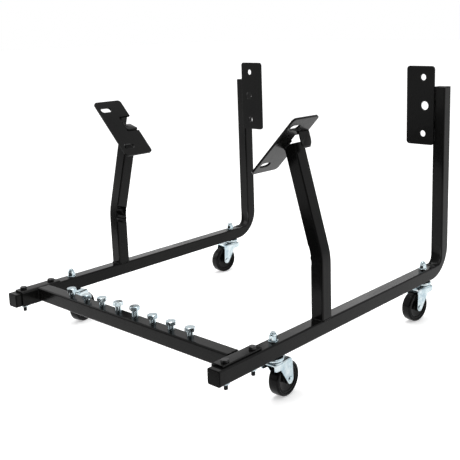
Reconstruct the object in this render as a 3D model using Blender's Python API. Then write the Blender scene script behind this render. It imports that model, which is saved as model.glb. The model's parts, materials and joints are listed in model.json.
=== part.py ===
"""Rolling engine cradle: two bent side rails, a bolted cross tube, two kinked posts with engine mount plates,
two bellhousing plates and four swivel casters. Metres, +Z up, +Y towards the uprights, floor at Z = 0."""

from math import atan2, cos, pi, radians, sin, tan

import bmesh
import bpy
from mathutils import Matrix, Vector

# ---- clearances -------------------------------------------------------------------------------------
GAP = 0.0003  # between faces that touch or are welded
BOLT_CLEARANCE = 0.0005  # on the radius of every bolt and stem hole
RUNNING_CLEARANCE = 0.0004  # on the radius of the wheel bore and the swivel hole
SIDE_PLAY = 0.0006  # between the wheel hub and each fork leg

# ---- square tube ------------------------------------------------------------------------------------
TUBE = 0.0381
TUBE_WALL = 0.0025
TUBE_CORNER = 0.004

# ---- overall frame ----------------------------------------------------------------------------------
RAIL_SPACING = 0.804  # centre to centre
FRAME_LENGTH = 1.002  # tip of the front plugs to the back of the uprights
UPRIGHT_HEIGHT = 0.577  # rail underside to the top of the upright's cap
BEND_RADIUS = 0.092  # outside of the bend
BEND_STEPS = 10

# ---- plugs and caps ---------------------------------------------------------------------------------
PLUG_FLANGE = 0.003
PLUG_DEPTH = 0.016
PLUG_CLEARANCE = 0.0004
PLUG_CHAMFER = 0.001

# ---- corner brackets and cross tube -----------------------------------------------------------------
BRACKET_THICKNESS = 0.005
BRACKET_LENGTH = 0.127
BRACKET_SETBACK = 0.0186  # from the plug's tip
BRACKET_STRIP = 0.007  # rail top left bare outside the bracket
BRACKET_BEND = 0.008  # outside radius of its corner
BRACKET_BOLT_SPACING = 0.090
CROSS_TUBE_SETBACK = 0.0682  # plug's tip to the front face of the cross tube

# ---- posts ------------------------------------------------------------------------------------------
POST_SETBACK = 0.3666  # plug's tip to the front face of the post
KINK_HEIGHT = 0.2013  # above the rail's underside, on the post's axis
POST_LEAN = radians(16.3)
UPPER_LENGTH = 0.2872  # kink to the end of the post, on its axis
POST_END_WALL = 0.003

# ---- engine mount plates ----------------------------------------------------------------------------
PLATE_THICKNESS = 0.006
MOUNT_LENGTH = 0.2045
MOUNT_WIDTH = 0.0975
MOUNT_ANGLE = radians(45.7)
MOUNT_CORNER = 0.010
MOUNT_OVER_AXIS = 0.0084  # plate centre to the post's axis, along the plate
MOUNT_SINK = 0.0066  # centre of the post's end below the plate's face, square to it
MOUNT_REAR = 0.0018  # plate's rear edge behind the post's rear face
NOTCH_FRONT = 0.0022  # notch edge ahead of the post's front face
NOTCH_LOW = 0.0006  # notch edge off the post's inner face
TAB_BEND = 0.014  # outside radius
TAB_LENGTH = 0.036  # flat part
TAB_RELIEF = 0.0025
TAB_CORNER = 0.008
TAB_STEPS = 6
SLOT_LENGTH = 0.036
SLOT_WIDTH = 0.0175
SLOT_SPACING = 0.1405
SLOT_FORWARD = 0.021  # slot centres ahead of the plate's centre

# ---- bellhousing plates -----------------------------------------------------------------------------
BELL_WIDTH = 0.0925
BELL_HEIGHT = 0.2355
BELL_CORNER = 0.010
BELL_TOP = 0.0607  # above the top of the upright
BELL_OVERLAP = 0.006  # across the front face of the upright
BELL_HOLE = 0.019
BELL_MIDDLE_HOLE = 0.026
BELL_HOLE_SPACING = 0.0843
BELL_HOLE_EDGE = 0.037  # from the outer edge
BELL_MIDDLE_EDGE = 0.0315

# ---- hex bolts and nuts: thread diameter, across flats, head or nut height --------------------------
BRACKET_BOLT = 0.010
BRACKET_BOLT_FLATS = 0.017
BRACKET_BOLT_HEAD = 0.0065
BRACKET_BOLT_TAIL = 0.022  # below the rail
BRACKET_NUT_HEIGHT = 0.0085
STORED_BOLT = 0.0159
STORED_BOLT_FLATS = 0.0238
STORED_BOLT_HEAD = 0.010
STORED_BOLT_PITCH = 0.068
STORED_BOLT_FLOOR = 0.005  # from the deepest bolt's end to the floor of the cross tube
# Shank above the cross tube, from left to right: each bolt is screwed in by hand.
STORED_BOLT_EXPOSED = (0.013, 0.009, 0.016, 0.019, 0.022, 0.0155, 0.015, 0.016)
HEX_CHAMFER = 0.0011

# ---- casters ----------------------------------------------------------------------------------------
WHEEL_RADIUS = 0.04445
WHEEL_WIDTH = 0.030
HUB_WIDTH = 0.0355
HUB_RADIUS = 0.0115
WEB_FILLET = 0.002
WEB_RECESS = 0.005
RIM_WIDTH = 0.004
RIM_STEP = 0.0015
TREAD_DEPTH = 0.009
TREAD_CROWN = 0.0025
WHEEL_STEPS = 24
AXLE_DROP = 0.068  # below the rail's underside
TRAIL = 0.038
STEM = 0.012
STEM_TAIL = 0.0235  # above the rail
RACE_RADIUS = 0.025
RACE_THICKNESS = 0.0035
RACE_RIM = 0.003  # turned down around the balls
BALL = 0.0055
BALL_CIRCLE = 0.0165
KINGPIN = 0.011
FORK_SHEET = 0.0025
FORK_TIP = 0.0115
FORK_FRONT = 0.022  # ahead of the swivel axis
FORK_SKIRT = 0.014  # depth of the fork's sides at the front
FORK_BEND = 0.005
FORK_BROW = 0.001  # where the skirt ends and the legs begin, behind the swivel axis
FORK_TAPER = 0.007  # how far the legs' rear edge leans in at the top
DISH_RADIUS = 0.0215
DISH_RISE = 0.003
AXLE = 0.008
AXLE_HEAD = 0.015
RIVET_HEAD = 0.003  # height of the axle's and the kingpin's heads
KINGPIN_HEAD = 0.019
WASHER_RADIUS = 0.0125
WASHER_THICKNESS = 0.0025
LOCK_NUT_FLATS = 0.019
LOCK_NUT_HEIGHT = 0.016
LOCK_NUT_COLLAR = 0.005
FRONT_CASTER_SETBACK = 0.1989
REAR_CASTER_INSET = 0.1168  # ahead of the back of the uprights
REAR_CASTER_SETBACK = FRAME_LENGTH - REAR_CASTER_INSET
# Direction in which each wheel trails its stem, turned from +X.
CASTERS = {
    "front_right": (1, FRONT_CASTER_SETBACK, radians(94)),
    "front_left": (-1, FRONT_CASTER_SETBACK, radians(105)),
    "rear_right": (1, REAR_CASTER_SETBACK, radians(263)),
    "rear_left": (-1, REAR_CASTER_SETBACK, radians(266)),
}

# ---- derived places ---------------------------------------------------------------------------------
FRONT = -FRAME_LENGTH / 2
RAIL_BOTTOM = AXLE_DROP + WHEEL_RADIUS
RAIL_TOP = RAIL_BOTTOM + TUBE
RAIL_X = RAIL_SPACING / 2
TUBE_INSIDE = TUBE - 2 * TUBE_WALL
TUBE_START = FRONT + PLUG_FLANGE + GAP
BRACKET_BOLT_YS = [
    FRONT + BRACKET_SETBACK + BRACKET_LENGTH / 2 + end * BRACKET_BOLT_SPACING / 2 for end in (-1, 1)
]
BRACKET_TOP = RAIL_TOP + GAP + BRACKET_THICKNESS
POST_Y = FRONT + POST_SETBACK + TUBE / 2
UPRIGHT_Y = FRONT + FRAME_LENGTH - TUBE / 2
CROSS_Y = FRONT + CROSS_TUBE_SETBACK + TUBE / 2
STORED_BOLT_LENGTH = min(STORED_BOLT_EXPOSED) + TUBE - TUBE_WALL - STORED_BOLT_FLOOR
STORED_BOLT_START = -(len(STORED_BOLT_EXPOSED) - 1) / 2 * STORED_BOLT_PITCH
STORED_BOLT_XS = [STORED_BOLT_START + i * STORED_BOLT_PITCH for i in range(len(STORED_BOLT_EXPOSED))]
ROUND_STEPS = 12  # around every round piece but the wheels; a multiple of six
MERGE = 1e-6

# The right post and mount plate. The post's points are from the rail's underside, on the post's axis.
UP_POST = Vector((-sin(POST_LEAN), 0, cos(POST_LEAN)))
KINK = Vector((0, 0, KINK_HEIGHT))
POST_END = KINK + UP_POST * UPPER_LENGTH
ALONG = Vector((cos(MOUNT_ANGLE), 0, sin(MOUNT_ANGLE)))  # along the plate, outwards and up
FACE = Vector((-sin(MOUNT_ANGLE), 0, cos(MOUNT_ANGLE)))  # out of its upper face
MOUNT_TO_POST = pi / 2 + POST_LEAN - MOUNT_ANGLE

# Levels below the rail's underside.
RACE_UNDER = -GAP - RACE_THICKNESS
FORK_TOP = RACE_UNDER - 2 * GAP - BALL - DISH_RISE
FORK_UNDER = FORK_TOP - FORK_SHEET
FORK_INSIDE = HUB_WIDTH + 2 * SIDE_PLAY

BLACK = ((0.020, 0.020, 0.021, 1), 0.42, 0.0)
ZINC = ((0.62, 0.66, 0.68, 1), 0.28, 1.0)
PLASTIC = ((0.018, 0.018, 0.018, 1), 0.5, 0.0)
TREAD = ((0.012, 0.012, 0.012, 1), 0.38, 0.0)


# ---- helpers ----------------------------------------------------------------------------------------
def clear_scene():
    for old in list(bpy.data.objects):
        bpy.data.objects.remove(old, do_unlink=True)


def paint(name, look):
    color, roughness, metallic = look
    material = bpy.data.materials.new(name)
    material.use_nodes = True
    shader = material.node_tree.nodes["Principled BSDF"]
    shader.inputs["Base Color"].default_value = color
    shader.inputs["Roughness"].default_value = roughness
    shader.inputs["Metallic"].default_value = metallic
    material.diffuse_color = color
    return material


def add_object(name, bm, look=None, location=(0, 0, 0), parent=None):
    """Puts a bmesh in the scene as an object. Without a look it is a cutter, which isn't rendered."""
    bmesh.ops.recalc_face_normals(bm, faces=bm.faces)
    mesh = bpy.data.meshes.new(name)
    bm.to_mesh(mesh)
    bm.free()
    mesh.shade_smooth()
    mesh.set_sharp_from_angle(angle=radians(30))
    obj = bpy.data.objects.new(name, mesh)
    bpy.context.collection.objects.link(obj)
    obj.parent = parent
    obj.location = location
    if look:
        mesh.materials.append(paint(name, look))
    else:
        obj.hide_render = True
        obj.display_type = "WIRE"
    return obj


def boolean(obj, name, bm, operation="DIFFERENCE"):
    """Cuts, joins or intersects an object with a shape given in the object's own coordinates."""
    cutter = add_object(obj.name + "_" + name, bm, location=obj.location, parent=obj.parent)
    modifier = obj.modifiers.new(name, "BOOLEAN")
    modifier.operation = operation
    modifier.solver = "EXACT"
    modifier.object = cutter


def arc(centre, radius, start, end, steps):
    """Points on an arc, both ends included."""
    angles = [start + (end - start) * i / steps for i in range(steps + 1)]
    return [(centre[0] + radius * cos(angle), centre[1] + radius * sin(angle)) for angle in angles]


def circle(radius):
    return arc((0, 0), radius, 0, 2 * pi, ROUND_STEPS)[:-1]


def hexagon(flats):
    """A hexagon with as many points as a circle, its corners on every sixth part of it."""
    points = []
    per_side = ROUND_STEPS // 6
    corners = arc((0, 0), flats / 2 / cos(pi / 6), 0, 2 * pi, 6)
    for (x0, y0), (x1, y1) in zip(corners, corners[1:]):
        points += [(x0 + (x1 - x0) * i / per_side, y0 + (y1 - y0) * i / per_side) for i in range(per_side)]
    return points


def rounded_rectangle(width, height, corner, steps=2):
    half_w = width / 2 - corner
    half_h = height / 2 - corner
    centres = ((half_w, half_h), (-half_w, half_h), (-half_w, -half_h), (half_w, -half_h))
    points = []
    for quarter, centre in enumerate(centres):
        points += arc(centre, corner, quarter * pi / 2, (quarter + 1) * pi / 2, steps)
    return points


def stadium(length, width):
    """A slot's outline, its length along the second coordinate."""
    reach = (length - width) / 2
    half = ROUND_STEPS // 2
    return arc((0, reach), width / 2, 0, pi, half) + arc((0, -reach), width / 2, pi, 2 * pi, half)


def face_from(bm, points, place):
    """A face whose corners are place(a, b) for each outline point (a, b)."""
    return bm.faces.new([bm.verts.new(place(a, b)) for a, b in points])


def joined_to_more(faces):
    """True when these faces border others, so that they would be left inside the solid by an extrusion."""
    return any(other not in faces for face in faces for edge in face.edges for other in edge.link_faces)


def extrude(bm, faces, offset):
    """Extrudes faces by a vector and gives back the new end faces."""
    inner = faces if joined_to_more(faces) else []
    made = bmesh.ops.extrude_face_region(bm, geom=faces)["geom"]
    verts = [item for item in made if isinstance(item, bmesh.types.BMVert)]
    bmesh.ops.translate(bm, verts=verts, vec=offset)
    bmesh.ops.delete(bm, geom=inner, context="FACES")
    return [item for item in made if isinstance(item, bmesh.types.BMFace)]


def sweep(bm, faces, centre, axis, angle, steps):
    """Sweeps faces of a solid round an axis and gives back the new end faces."""
    swept = bmesh.ops.spin(bm, geom=faces, cent=centre, axis=axis, angle=angle, steps=steps)
    bmesh.ops.delete(bm, geom=faces, context="FACES")
    return [item for item in swept["geom_last"] if isinstance(item, bmesh.types.BMFace)]


def prism(points, place, offset, bm=None):
    bm = bm or bmesh.new()
    extrude(bm, [face_from(bm, points, place)], offset)
    return bm


def stacked(rings, bored=False):
    """A solid through (outline, height) rings of equal counts. Bored, its last ring meets its first."""
    bm = bmesh.new()
    if bored:
        rings = rings + rings[:1]
    first = face_from(bm, rings[0][0], lambda a, b: (a, b, rings[0][1]))
    last = first
    for outline, height in rings[1:]:
        last = extrude(bm, [last], (0, 0, 0))[0]
        for vert, (a, b) in zip(last.verts, outline):
            vert.co = (a, b, height)
    if bored:
        bmesh.ops.delete(bm, geom=[first, last], context="FACES_ONLY")
        bmesh.ops.remove_doubles(bm, verts=bm.verts, dist=MERGE)
    return bm


def drilled(places, radius, low, high):
    """Vertical cylinders between two heights, to cut round holes with."""
    bm = bmesh.new()
    for x, y in places:
        prism(circle(radius), lambda a, b, x=x, y=y: (x + a, y + b, low), (0, 0, high - low), bm)
    return bm


def tube_section(bm, place):
    """The ring of faces at the end of a square tube."""
    outer = face_from(bm, rounded_rectangle(TUBE, TUBE, TUBE_CORNER), place)
    inner = face_from(bm, rounded_rectangle(TUBE_INSIDE, TUBE_INSIDE, TUBE_CORNER - TUBE_WALL), place)
    edges = list(outer.edges) + list(inner.edges)
    bmesh.ops.delete(bm, geom=[outer, inner], context="FACES_ONLY")
    return bmesh.ops.bridge_loops(bm, edges=edges)["faces"]


def mirrored(bm, side):
    """Turns the shape of the right side into that of the left when side is -1."""
    bmesh.ops.scale(bm, vec=(side, 1, 1), verts=bm.verts)
    return bm


# ---- side rails, plugs and caps ---------------------------------------------------------------------
def make_plug(name, location, outward):
    """A plug with its flange as wide as the tube, facing outward, and its stub in the tube."""
    stub = TUBE_INSIDE - 2 * PLUG_CLEARANCE
    stub_corner = TUBE_CORNER - TUBE_WALL
    outer = rounded_rectangle(TUBE, TUBE, TUBE_CORNER)
    crown = rounded_rectangle(TUBE - 2 * PLUG_CHAMFER, TUBE - 2 * PLUG_CHAMFER, TUBE_CORNER - PLUG_CHAMFER)
    inner = rounded_rectangle(stub, stub, stub_corner)
    bm = stacked(
        [
            (inner, -PLUG_FLANGE - PLUG_DEPTH),
            (inner, -PLUG_FLANGE),
            (outer, -PLUG_FLANGE),
            (outer, -PLUG_CHAMFER),
            (crown, 0),
        ]
    )
    turn = Vector((0, 0, 1)).rotation_difference(Vector(outward)).to_matrix()
    bmesh.ops.rotate(bm, verts=bm.verts, cent=(0, 0, 0), matrix=turn)
    add_object(name, bm, PLASTIC, location)


def make_rail(side, side_name):
    """From the front plug along the floor, round the bend and up to the cap, with bolt and stem holes."""
    start = TUBE_START - FRONT
    straight_end = FRAME_LENGTH - BEND_RADIUS
    bm = bmesh.new()
    section = tube_section(bm, lambda a, b: (a, start, TUBE / 2 + b))
    end = extrude(bm, section, (0, straight_end - start, 0))
    end = sweep(bm, end, (0, straight_end, BEND_RADIUS), (1, 0, 0), pi / 2, BEND_STEPS)
    extrude(bm, end, (0, 0, UPRIGHT_HEIGHT - PLUG_FLANGE - GAP - BEND_RADIUS))
    rail = add_object("rail_" + side_name, bm, BLACK, (side * RAIL_X, FRONT, RAIL_BOTTOM))
    bolts = [(0, y - FRONT) for y in BRACKET_BOLT_YS]
    stems = [(0, FRONT_CASTER_SETBACK), (0, REAR_CASTER_SETBACK)]
    boolean(rail, "bolt_holes", drilled(bolts, BRACKET_BOLT / 2 + BOLT_CLEARANCE, -TUBE, 2 * TUBE))
    boolean(rail, "stem_holes", drilled(stems, STEM / 2 + BOLT_CLEARANCE, -TUBE, 2 * TUBE))
    plug_place = (side * RAIL_X, FRONT, RAIL_BOTTOM + TUBE / 2)
    cap_place = (side * RAIL_X, UPRIGHT_Y, RAIL_BOTTOM + UPRIGHT_HEIGHT)
    make_plug("front_plug_" + side_name, plug_place, (0, -1, 0))
    make_plug("upright_cap_" + side_name, cap_place, (0, 0, 1))


# ---- corner brackets and cross tube -----------------------------------------------------------------
def make_bracket(side, side_name):
    """An angle: one leg lies on the rail, the other goes down its inner face."""
    inner = -TUBE / 2 - GAP
    seat = TUBE + GAP
    crown = seat + BRACKET_THICKNESS
    corner = (inner - BRACKET_THICKNESS + BRACKET_BEND, crown - BRACKET_BEND)
    profile = [(TUBE / 2 - BRACKET_STRIP, seat), (TUBE / 2 - BRACKET_STRIP, crown)]
    profile += arc(corner, BRACKET_BEND, pi / 2, pi, 5)
    profile += [(inner - BRACKET_THICKNESS, 0), (inner, 0)]
    profile += arc(corner, BRACKET_BEND - BRACKET_THICKNESS, pi, pi / 2, 5)
    bm = prism(profile, lambda a, b: (a, BRACKET_SETBACK, b), (0, BRACKET_LENGTH, 0))
    place = (side * RAIL_X, FRONT, RAIL_BOTTOM)
    bracket = add_object("corner_bracket_" + side_name, mirrored(bm, side), BLACK, place)
    bolts = [(0, y - FRONT) for y in BRACKET_BOLT_YS]
    boolean(bracket, "bolt_holes", drilled(bolts, BRACKET_BOLT / 2 + BOLT_CLEARANCE, TUBE / 2, 2 * TUBE))


def make_cross_tube():
    length = RAIL_SPACING - TUBE - 2 * (BRACKET_THICKNESS + 2 * GAP)
    bm = bmesh.new()
    section = tube_section(bm, lambda a, b: (-length / 2, a, b))
    extrude(bm, section, (length, 0, 0))
    tube = add_object("cross_tube", bm, BLACK, (0, CROSS_Y, BRACKET_TOP - TUBE / 2))
    bolts = [(x, 0) for x in STORED_BOLT_XS]
    boolean(tube, "bolt_holes", drilled(bolts, STORED_BOLT / 2 + BOLT_CLEARANCE, 0, TUBE))


# ---- bolts and nuts ---------------------------------------------------------------------------------
def hex_bolt(thread, flats, head, shank):
    """A bolt with the underside of its head at Z = 0. The head's top is chamfered and the end pointed."""
    point = thread / 8
    return stacked(
        [
            (circle(thread / 2 - point), -shank),
            (circle(thread / 2), point - shank),
            (circle(thread / 2), 0),
            (hexagon(flats), 0),
            (hexagon(flats), head - HEX_CHAMFER),
            (circle(flats / 2 - HEX_CHAMFER), head),
        ]
    )


def hex_nut(thread, flats, height, collar=0.0):
    """A nut standing on Z = 0. A lock nut has a round collar on top."""
    bore = circle(thread / 2 + GAP)
    crown = flats / 2 - HEX_CHAMFER
    rings = [(bore, 0), (circle(crown), 0), (hexagon(flats), HEX_CHAMFER)]
    rings += [(hexagon(flats), height - collar - HEX_CHAMFER), (circle(crown), height - collar)]
    if collar:
        rings += [(circle(crown), height - HEX_CHAMFER), (circle(crown - HEX_CHAMFER), height)]
    rings += [(bore, height)]
    return stacked(rings, bored=True)


def make_bracket_bolts(side, side_name):
    shank = BRACKET_THICKNESS + 2 * GAP + TUBE + BRACKET_BOLT_TAIL
    for y, end_name in zip(BRACKET_BOLT_YS, ("front", "rear")):
        bolt = hex_bolt(BRACKET_BOLT, BRACKET_BOLT_FLATS, BRACKET_BOLT_HEAD, shank)
        bolt_place = (side * RAIL_X, y, BRACKET_TOP + GAP)
        add_object("bracket_bolt_" + side_name + "_" + end_name, bolt, BLACK, bolt_place)
        nut = hex_nut(BRACKET_BOLT, BRACKET_BOLT_FLATS, BRACKET_NUT_HEIGHT)
        nut_place = (side * RAIL_X, y, RAIL_BOTTOM - GAP - BRACKET_NUT_HEIGHT)
        add_object("bracket_nut_" + side_name + "_" + end_name, nut, ZINC, nut_place)


def make_stored_bolts():
    for number, (x, exposed) in enumerate(zip(STORED_BOLT_XS, STORED_BOLT_EXPOSED), 1):
        bolt = hex_bolt(STORED_BOLT, STORED_BOLT_FLATS, STORED_BOLT_HEAD, STORED_BOLT_LENGTH)
        place = (x, CROSS_Y, BRACKET_TOP + exposed)
        add_object("engine_bolt_%d" % number, bolt, ZINC, place)


# ---- posts and engine mount plates ------------------------------------------------------------------
def kinked_prism(size, corner, foot, end_trim):
    """The right post, or its hollow: up from the foot to the mitre, then along the leaning part."""
    bm = bmesh.new()
    section = face_from(bm, rounded_rectangle(size, size, corner), lambda a, b: (a, b, foot))
    upright = Vector((0, 0, 1))
    mitre = (upright, KINK, upright + UP_POST)
    end = (UP_POST, POST_END - UP_POST * end_trim, UP_POST)
    for direction, centre, normal in (mitre, end):
        section = extrude(bm, [section], (0, 0, 0))[0]
        for vert in section.verts:
            vert.co += direction * ((centre - vert.co).dot(normal) / direction.dot(normal))
    return bm


def make_post(side, side_name):
    """A kinked square tube, open at the foot and closed at the top."""
    place = (side * RAIL_X, POST_Y, RAIL_BOTTOM)
    foot = TUBE + GAP
    outside = kinked_prism(TUBE, TUBE_CORNER, foot, 0)
    post = add_object("post_" + side_name, mirrored(outside, side), BLACK, place)
    hollow = kinked_prism(TUBE_INSIDE, TUBE_CORNER - TUBE_WALL, foot - TUBE, POST_END_WALL)
    boolean(post, "hollow", mirrored(hollow, side))


def on_mount(along, y, out):
    """A point of the right mount plate: along it from its centre, across it, and out of its face."""
    on_axis = POST_END + UP_POST * (MOUNT_SINK / sin(MOUNT_TO_POST))
    return on_axis + ALONG * (along - MOUNT_OVER_AXIS) + Vector((0, y, 0)) + FACE * out


def make_mount_plate(side, side_name):
    """A plate notched around the post's top, the notch's metal folded down over its outer face."""
    rear = TUBE / 2 + MOUNT_REAR
    front = rear - MOUNT_WIDTH
    notch_front = -TUBE / 2 - NOTCH_FRONT
    tab_front = notch_front + TAB_RELIEF
    half_post = TUBE / 2 / sin(MOUNT_TO_POST)
    notch_low = MOUNT_OVER_AXIS - half_post - PLATE_THICKNESS / tan(MOUNT_TO_POST) - NOTCH_LOW
    tab_line = MOUNT_OVER_AXIS + half_post + GAP / sin(MOUNT_TO_POST)
    fold = tab_line + TAB_BEND * tan(MOUNT_TO_POST / 2)
    half = MOUNT_LENGTH / 2 - MOUNT_CORNER
    outline = arc((half, front + MOUNT_CORNER), MOUNT_CORNER, -pi / 2, 0, 4)
    outline += arc((half, rear - MOUNT_CORNER), MOUNT_CORNER, 0, pi / 2, 4)
    outline += [(fold, rear), (fold, tab_front), (fold, notch_front)]
    outline += [(notch_low, notch_front), (notch_low, rear)]
    outline += arc((-half, rear - MOUNT_CORNER), MOUNT_CORNER, pi / 2, pi, 4)
    outline += arc((-half, front + MOUNT_CORNER), MOUNT_CORNER, pi, 3 * pi / 2, 4)
    bm = prism(outline, lambda a, b: on_mount(a, b, 0), FACE * -PLATE_THICKNESS)
    tab_root = on_mount(fold, (rear + tab_front) / 2, -PLATE_THICKNESS / 2)
    root = min(bm.faces, key=lambda face: (face.calc_center_median() - tab_root).length)
    fold_centre = on_mount(fold, 0, -TAB_BEND)
    end = sweep(bm, [root], fold_centre, (0, 1, 0), MOUNT_TO_POST, TAB_STEPS)
    end = extrude(bm, end, UP_POST * -TAB_LENGTH)[0]
    ends = [edge for edge in end.edges if abs((edge.verts[0].co - edge.verts[1].co).y) < GAP]
    bmesh.ops.bevel(
        bm, geom=ends, offset=TAB_CORNER, affect="EDGES", segments=4, profile=0.5, material=-1
    )
    place = (side * RAIL_X, POST_Y, RAIL_BOTTOM)
    plate = add_object("engine_mount_plate_" + side_name, mirrored(bm, side), BLACK, place)
    slots = bmesh.new()
    slot_y = (rear + front) / 2 - SLOT_FORWARD
    for end in (-1, 1):
        along = end * SLOT_SPACING / 2
        prism(
            stadium(SLOT_LENGTH, SLOT_WIDTH),
            lambda a, b, along=along: on_mount(along + a, slot_y + b, PLATE_THICKNESS),
            FACE * -3 * PLATE_THICKNESS,
            slots,
        )
    boolean(plate, "slots", mirrored(slots, side))


# ---- bellhousing plates -----------------------------------------------------------------------------
def make_bell_plate(side, side_name):
    """A plate across the front of the upright, with two bolt holes and a larger dowel hole between them."""
    bm = prism(
        rounded_rectangle(BELL_WIDTH, BELL_HEIGHT, BELL_CORNER, 4),
        lambda a, b: (a, 0, b),
        (0, PLATE_THICKNESS, 0),
    )
    x = RAIL_X - TUBE / 2 + BELL_OVERLAP - BELL_WIDTH / 2
    y = UPRIGHT_Y - TUBE / 2 - GAP - PLATE_THICKNESS
    z = RAIL_BOTTOM + UPRIGHT_HEIGHT + BELL_TOP - BELL_HEIGHT / 2
    plate = add_object("bellhousing_plate_" + side_name, bm, BLACK, (side * x, y, z))
    holes = bmesh.new()
    edge = BELL_WIDTH / 2
    for level, diameter, inset in (
        (-1, BELL_HOLE, BELL_HOLE_EDGE),
        (0, BELL_MIDDLE_HOLE, BELL_MIDDLE_EDGE),
        (1, BELL_HOLE, BELL_HOLE_EDGE),
    ):
        centre = (side * (edge - inset), level * BELL_HOLE_SPACING)
        prism(
            circle(diameter / 2),
            lambda a, b, centre=centre: (centre[0] + a, -PLATE_THICKNESS, centre[1] + b),
            (0, 3 * PLATE_THICKNESS, 0),
            holes,
        )
    boolean(plate, "holes", holes)


# ---- casters: the swivel axis on Z, the rail's underside at Z = 0, the trail along X -----------------
def stem_and_race():
    """The threaded stem, the race disc with its turned-down rim, and the kingpin riveted under the fork."""
    rim = RACE_RADIUS - RACE_THICKNESS
    point = STEM / 8
    return stacked(
        [
            (circle(KINGPIN_HEAD / 2 - point), FORK_UNDER - GAP - RIVET_HEAD),
            (circle(KINGPIN_HEAD / 2), FORK_UNDER - GAP - RIVET_HEAD / 2),
            (circle(KINGPIN_HEAD / 2), FORK_UNDER - GAP),
            (circle(KINGPIN / 2), FORK_UNDER - GAP),
            (circle(KINGPIN / 2), RACE_UNDER),
            (circle(rim), RACE_UNDER),
            (circle(rim), RACE_UNDER - RACE_RIM),
            (circle(RACE_RADIUS), RACE_UNDER - RACE_RIM),
            (circle(RACE_RADIUS), RACE_UNDER + RACE_THICKNESS / 3),
            (circle(rim), -GAP),
            (circle(STEM / 2), -GAP),
            (circle(STEM / 2), TUBE + STEM_TAIL - point),
            (circle(STEM / 2 - point), TUBE + STEM_TAIL),
        ]
    )


def ball_ring():
    bm = bmesh.new()
    level = RACE_UNDER - GAP - BALL / 2
    face_from(bm, arc((BALL_CIRCLE, level), BALL / 2, 0, 2 * pi, 10)[:-1], lambda a, b: (a, 0, b))
    edges = list(bm.edges)
    bmesh.ops.delete(bm, geom=list(bm.faces), context="FACES_ONLY")
    bmesh.ops.spin(
        bm, geom=edges, cent=(0, 0, 0), axis=(0, 0, 1), angle=2 * pi, steps=ROUND_STEPS, use_merge=True
    )
    return bm


def fork_blank():
    """The fork's sheet seen from behind, an upside-down U, drawn out along the trail."""
    low = -AXLE_DROP - 2 * FORK_TIP
    half = FORK_INSIDE / 2 + FORK_SHEET
    inner_bend = FORK_BEND - FORK_SHEET
    bend = half - FORK_BEND
    level = FORK_TOP - FORK_BEND
    profile = [(half, low)]
    profile += arc((bend, level), FORK_BEND, 0, pi / 2, 4)
    profile += arc((-bend, level), FORK_BEND, pi / 2, pi, 4)
    profile += [(-half, low), (-half + FORK_SHEET, low)]
    profile += arc((-bend, level), inner_bend, pi, pi / 2, 4)
    profile += arc((bend, level), inner_bend, pi / 2, 0, 4)
    profile += [(half - FORK_SHEET, low)]
    return prism(profile, lambda a, b: (-FORK_FRONT, a, b), (FORK_FRONT + TRAIL + 2 * FORK_TIP, 0, 0))


def fork_side():
    """The fork seen from the side: a skirt at the front, then legs that narrow to a round tip at the axle."""
    tip = (TRAIL, -AXLE_DROP)
    skirt = FORK_UNDER - FORK_SKIRT
    brow = (FORK_BROW, skirt - FORK_SHEET)
    lean = atan2(tip[1] - brow[1], tip[0] - brow[0]) - pi / 2
    outline = [(-FORK_FRONT, FORK_TOP + FORK_SHEET), (-FORK_FRONT, skirt), brow]
    outline += arc(tip, FORK_TIP, lean, 0, 8)
    outline += [(TRAIL + FORK_TIP - FORK_TAPER / 3, FORK_TOP - FORK_BEND * 2)]
    rear_top = TRAIL + FORK_TIP - FORK_TAPER
    outline += [(rear_top, FORK_TOP), (rear_top, FORK_TOP + FORK_SHEET)]
    width = FORK_INSIDE + 4 * FORK_SHEET
    return prism(outline, lambda a, b: (a, -width / 2, b), (0, width, 0))


def fork_holes():
    bm = drilled([(0, 0)], KINGPIN / 2 + RUNNING_CLEARANCE, FORK_UNDER - TUBE, TUBE)
    width = FORK_INSIDE + 4 * FORK_SHEET
    return prism(
        circle(AXLE / 2 + RUNNING_CLEARANCE),
        lambda a, b: (TRAIL + a, -width / 2, b - AXLE_DROP),
        (0, width, 0),
        bm,
    )


def make_fork(name, parent):
    fork = add_object(name, fork_blank(), ZINC, parent=parent)
    boolean(fork, "side", fork_side(), "INTERSECT")
    dish = [(circle(DISH_RADIUS), FORK_TOP - FORK_SHEET / 2), (circle(DISH_RADIUS), FORK_TOP + DISH_RISE / 3)]
    dish += [(circle(DISH_RADIUS - DISH_RISE), FORK_TOP + DISH_RISE)]
    boolean(fork, "dish", stacked(dish), "UNION")
    boolean(fork, "holes", fork_holes())


def turned_across(rings):
    """A stacked solid turned so that its axis runs along Y, as the axle does."""
    bm = stacked(rings)
    bmesh.ops.rotate(bm, verts=bm.verts, cent=(0, 0, 0), matrix=Matrix.Rotation(pi / 2, 3, "X"))
    return bm


def axle():
    """A rivet through both legs, with a domed head outside each."""
    out = FORK_INSIDE / 2 + FORK_SHEET + GAP
    edge = RIVET_HEAD / 2
    rings = [
        (circle(AXLE_HEAD / 2 - edge), -out - RIVET_HEAD),
        (circle(AXLE_HEAD / 2), -out - edge),
        (circle(AXLE_HEAD / 2), -out),
        (circle(AXLE / 2), -out),
    ]
    bm = turned_across(rings + [(outline, -height) for outline, height in reversed(rings)])
    bmesh.ops.translate(bm, verts=bm.verts, vec=(TRAIL, 0, -AXLE_DROP))
    return bm


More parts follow.
